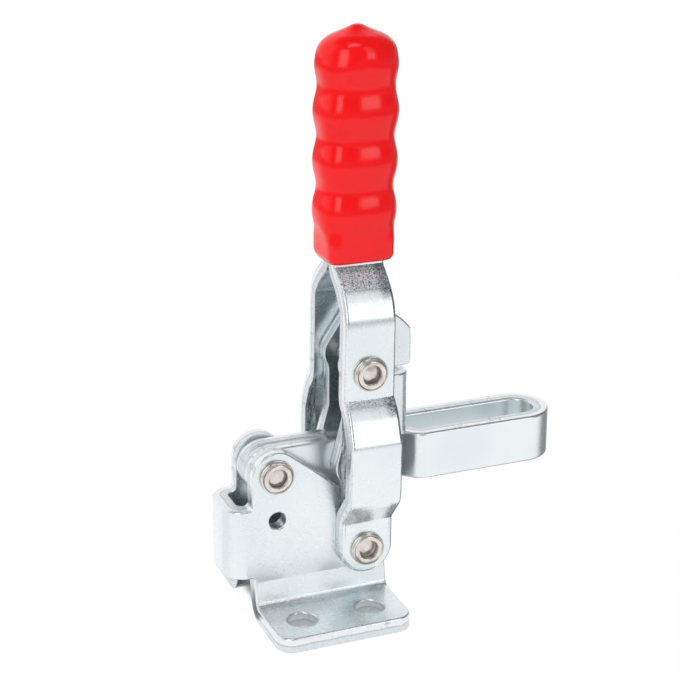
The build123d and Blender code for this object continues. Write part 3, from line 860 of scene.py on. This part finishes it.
baseOut, linkOut = baseShape["outer"], linkShape["outer"]
handleOut = handleShape["middle"] + handleShape["sheet"] / 2
rivet("earRivet", "base", "ear_rivet_ends", pivots["earX"], pivots["earZ"], baseOut, 0.1, 0.4,
      stub=baseOut - baseShape["sheet"])
rivet("barRivet", "link", "bar_rivet", pivots["barX"], pivots["barZ"], linkOut, 0.1, 2.1)
rivet("linkRivet", "handle", "link_rivet", topX, topZ, handleOut, 0.3, 5.2)
rivet("lowRivet", "base", "low_rivet", pivots["lowX"], pivots["lowZ"], handleOut, 0.6, 3.3)
print("rivets made")

for node in ("base_spacer", "ear_rivet_core", "handle_ties"):
    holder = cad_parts[node]
    holder.data.materials.clear()
    holder.data.materials.append(rivetSteel)

# grip
gripShape = {
    "around": 160, "lipRows": 10, "sideRows": 150, "crownRows": 70,
    "top": 114.6, "halfX": 7.52, "halfY": 6.0, "shift": 0.08,
    "swells": 4, "swell": 0.34, "pitch": 9.4, "first": 9.3, "sharpen": 0.12,
    # the rim is narrower and squarer, with a rounded lip, and gives way to the swells at these heights
    "rimInX": 0.80, "rimInY": 0.46, "lip": 1.2, "lipIn": 0.45, "blendLow": 2.5, "blendRun": 4.8,
    "squareRim": 6.5, "square": 2.7, "squareCrown": 2.02, "crownBlendLow": -4.6, "crownBlendRun": 6.0,
    # crown: shoulders, then a slightly hollow slope up to the nub; height and share of the half widths
    "crown": [(0.0, 1.0), (1.5, 0.98), (2.9, 0.92), (4.05, 0.80), (4.9, 0.64), (5.5, 0.46), (6.0, 0.31),
              (6.42, 0.20), (6.75, 0.11), (6.9, 0.0)],
    # pocket for the two plates, from the rim up: height and half widths
    "pocket": [(0.0, 6.25, 4.20), (0.0, 5.60, 3.55), (0.25, 5.35, 3.30), (6.0, 5.35, 3.30),
               (36.0, 5.05, 3.30), (38.0, 5.05, 3.30), (38.0, 0.0, 0.0)],
    "squareSlot": 8.0,
}


def gripRows(rise, halfX, halfY, power, shift=0.0):
    # one row for each height above the rim: a superellipse |x/a|^n + |y/b|^n = 1 on the handle's lean
    angle = around(gripShape["around"])
    c, s = np.cos(angle), np.sin(angle)
    a, b, n = halfX[:, None], halfY[:, None], power[:, None]
    reach = (np.abs(c / a.clip(1e-6)) ** n + np.abs(s / b.clip(1e-6)) ** n) ** (-1 / n)
    reach = np.where(a < 1e-5, 0, reach)
    middle = pivots["lowX"] + (gripRim + rise - pivots["lowZ"]) * math.tan(pivots["lean"]) + shift
    z = np.minimum(gripRim + rise, gripShape["top"])[:, None] + 0 * angle
    return np.stack([middle[:, None] + reach * c, reach * s, z], axis=-1)


def gripSurface():
    # rows from the end of the pocket down to the rim and up the outside to the nub, and how much painted
    # shade each takes
    shape = gripShape
    crownAt = shape["first"] + (shape["swells"] - 1) * shape["pitch"]
    rise = np.append(np.linspace(0.0, shape["lip"], shape["lipRows"])[:-1],
                     np.linspace(shape["lip"], crownAt, shape["sideRows"])[:-1])
    wave = np.cos(2 * np.pi * (rise - shape["first"]) / shape["pitch"])
    bulge = shape["swell"] * (wave + shape["sharpen"] * (1 - wave ** 2))
    settle = np.clip((rise - shape["blendLow"]) / shape["blendRun"], 0, 1)
    settle = settle * settle * (3 - 2 * settle)
    lip = shape["lipIn"] * np.clip(1 - rise / shape["lip"], 0, 1) ** 2
    halfX = shape["halfX"] + bulge * settle - shape["rimInX"] * (1 - settle) - lip
    halfY = shape["halfY"] + bulge * settle - shape["rimInY"] * (1 - settle) - lip

    crown = np.array(shape["crown"])
    crown[:, 0] *= (shape["top"] - gripRim - crownAt) / crown[-1, 0]
    crown = smoothLine(crown, shape["crownRows"])
    rise = np.append(rise, crownAt + crown[:, 0])
    settle = np.append(settle, np.ones(len(crown)))
    halfX = np.append(halfX, (shape["halfX"] + shape["swell"]) * crown[:, 1])
    halfY = np.append(halfY, (shape["halfY"] + shape["swell"]) * crown[:, 1])
    power = shape["squareRim"] + (shape["square"] - shape["squareRim"]) * settle
    onCrown = np.clip((rise - crownAt - shape["crownBlendLow"]) / shape["crownBlendRun"], 0, 1)
    power = power + (shape["squareCrown"] - power) * onCrown
    outer = gripRows(rise, halfX, halfY, power, shape["shift"])
    pocket = np.array(shape["pocket"])
    inner = gripRows(*pocket.T, np.full(len(pocket), shape["squareSlot"]))
    depth = np.concatenate([np.ones(len(inner)), [0.8], np.zeros(len(outer) - 1)])
    return np.concatenate([inner[::-1], outer]) * mm, depth


gridPiece("redGrip", *gripSurface(), "handle", redVinyl, "red_grip", "grip")
print("grip made")

# floor, light and camera; angles in degrees, lengths in metres
studio = {
    "floor": colour(0.95, 0.955, 0.96), "floorSize": 6.0,
    # glow of the floor for the camera and in reflections, and how much less it glows under the flanges
    "floorGlow": 0.93, "seenGlow": 0.03, "flangeShade": 0.85,
    "flangesX": (0.0122, 0.0102), "flangesY": (0.0198, 0.0180),
    # dark parts of the floor in reflections: cards to both sides (bearing, outer and inner half width,
    # darkness), everything far away, and a painted shadow on the strip under the clamp
    "leftCard": (-102, 34, 6, 0.12), "rightCard": (94, 24, 10, 0.8),
    "far": (0.30, 0.52), "farDark": 0.75,
    "stripX": -0.0026, "stripLong": (0.0175, 0.0145), "stripWide": (0.0075, 0.0045), "stripShadow": 0.95,
    # room: pale behind the object and below the horizon, dim in front of it and overhead
    "front": 0.18, "back": 0.95, "ceiling": 0.16, "horizon": (3, -3),
    "behindLeft": (-62, -100), "behindRight": (112, 140), "overhead": (48, 66), "diffuseGain": 1.6,
    # soft windows: bearing, half width, low and high edge, softness; the key one is stronger low down
    "key": (27, 9, 4, 51, 4), "side": (-40, 12, 3, 46, 3), "top": (-10, 28, 62, 78, 3),
    "keyPower": 1.0, "keyLow": 1.3, "keyLowEdge": (26, 14), "sidePower": 2.2, "topPower": 2.6,
    # camera; lens and sensor in millimetres
    "cameraAt": (-0.11429, -0.29673, 0.17158), "tilt": 69.7919, "roll": -0.2391, "turn": -22.0830,
    "lens": 93.6, "sensor": 36,
}


def studioFloor():
    size = studio["floorSize"]
    mesh = bpy.data.meshes.new("studioFloor")
    corners = [(-size, -size, 0), (size, -size, 0), (size, size, 0), (-size, size, 0)]
    mesh.from_pydata(corners, [], [(0, 1, 2, 3)])
    floor = bpy.data.objects.new("studioFloor", mesh)
    bpy.context.scene.collection.objects.link(floor)
    f = Finish("paleFloor")
    seen = f.put("ShaderNodeLightPath", output=0)
    mirrored = f.put("ShaderNodeLightPath", output=3)
    x, y = f.axis(0), f.axis(1)
    azimuth = bearing(x, y)

    def card(centre, outer, inner, dark):
        return abs(azimuth - centre).step(outer, inner) * dark

    far = ((x * x + y * y) ** 0.5).step(*studio["far"]) * studio["farDark"]
    # painted shadow on the floor under the clamp, seen only in reflections
    strip = abs(x - studio["stripX"]).step(*studio["stripLong"]) * abs(y).step(*studio["stripWide"])
    cards = card(*studio["leftCard"]) + card(*studio["rightCard"])
    dark = cards.most(far).most(strip * studio["stripShadow"])
    flanges = abs(x).step(*studio["flangesX"]) * abs(y).step(*studio["flangesY"])
    plain = f.put("ShaderNodeBsdfDiffuse", {}, {"Color": studio["floor"]})
    strength = 1.0 + studio["seenGlow"] * seen - mirrored * dark
    glow = f.put("ShaderNodeEmission", {}, {"Color": colour(1, 1, 1), "Strength": strength})
    share = seen.most(mirrored) * studio["floorGlow"] * (1 - studio["flangeShade"] * flanges)
    mixed = f.put("ShaderNodeMixShader", {}, {0: share, 1: plain, 2: glow})
    f.put("ShaderNodeOutputMaterial", {}, {0: mixed})
    mesh.materials.append(f.material)


def studioWorld():
    # radiance by direction
    world = bpy.data.worlds.new("studio")
    bpy.context.scene.world = world
    world.use_nodes = True
    tree = world.node_tree
    tree.nodes.clear()
    way = put(tree, "ShaderNodeTexCoord", output=0)
    x, y, z = [put(tree, "ShaderNodeSeparateXYZ", {}, {0: way}, i) for i in range(3)]
    azimuth = bearing(x, y)
    height = z.math("ARCSINE", z) * (180 / math.pi)

    def window(centre, halfWidth, low, high, soft):
        across = abs(azimuth - centre).step(halfWidth + soft, halfWidth - soft)
        return across * height.step(low - soft, low + soft) * height.step(high + soft, high - soft)

    behind = azimuth.step(*studio["behindLeft"]) + azimuth.step(*studio["behindRight"])
    overhead = height.step(*studio["overhead"])
    room = studio["front"] + behind * (studio["back"] - studio["front"])
    room = room * (1 - overhead) + overhead * studio["ceiling"]
    room = room.most(height.step(*studio["horizon"]))
    keyPower = studio["keyPower"] + studio["keyLow"] * height.step(*studio["keyLowEdge"])
    room = room + window(*studio["key"]) * keyPower
    room = room + window(*studio["side"]) * studio["sidePower"]
    room = room + window(*studio["top"]) * studio["topPower"]
    seen = put(tree, "ShaderNodeLightPath", output=0)
    diffuse = put(tree, "ShaderNodeLightPath", output=2)
    strength = seen + (1 - seen) * room * (1 + (studio["diffuseGain"] - 1) * diffuse)
    shade = put(tree, "ShaderNodeBackground", {}, {"Color": colour(1, 1, 1), "Strength": strength})
    put(tree, "ShaderNodeOutputWorld", {}, {0: shade})


def studioCamera():
    data = bpy.data.cameras.new("camera")
    data.sensor_width, data.lens = studio["sensor"], studio["lens"]
    data.clip_start, data.clip_end = 0.01, 20
    camera = bpy.data.objects.new("camera", data)
    bpy.context.scene.collection.objects.link(camera)
    camera.location = studio["cameraAt"]
    camera.rotation_euler = [math.radians(studio[key]) for key in ("tilt", "roll", "turn")]
    bpy.context.scene.camera = camera


studioFloor()
studioWorld()
studioCamera()
bpy.context.scene.view_settings.view_transform = "Standard"

print("scene ready")
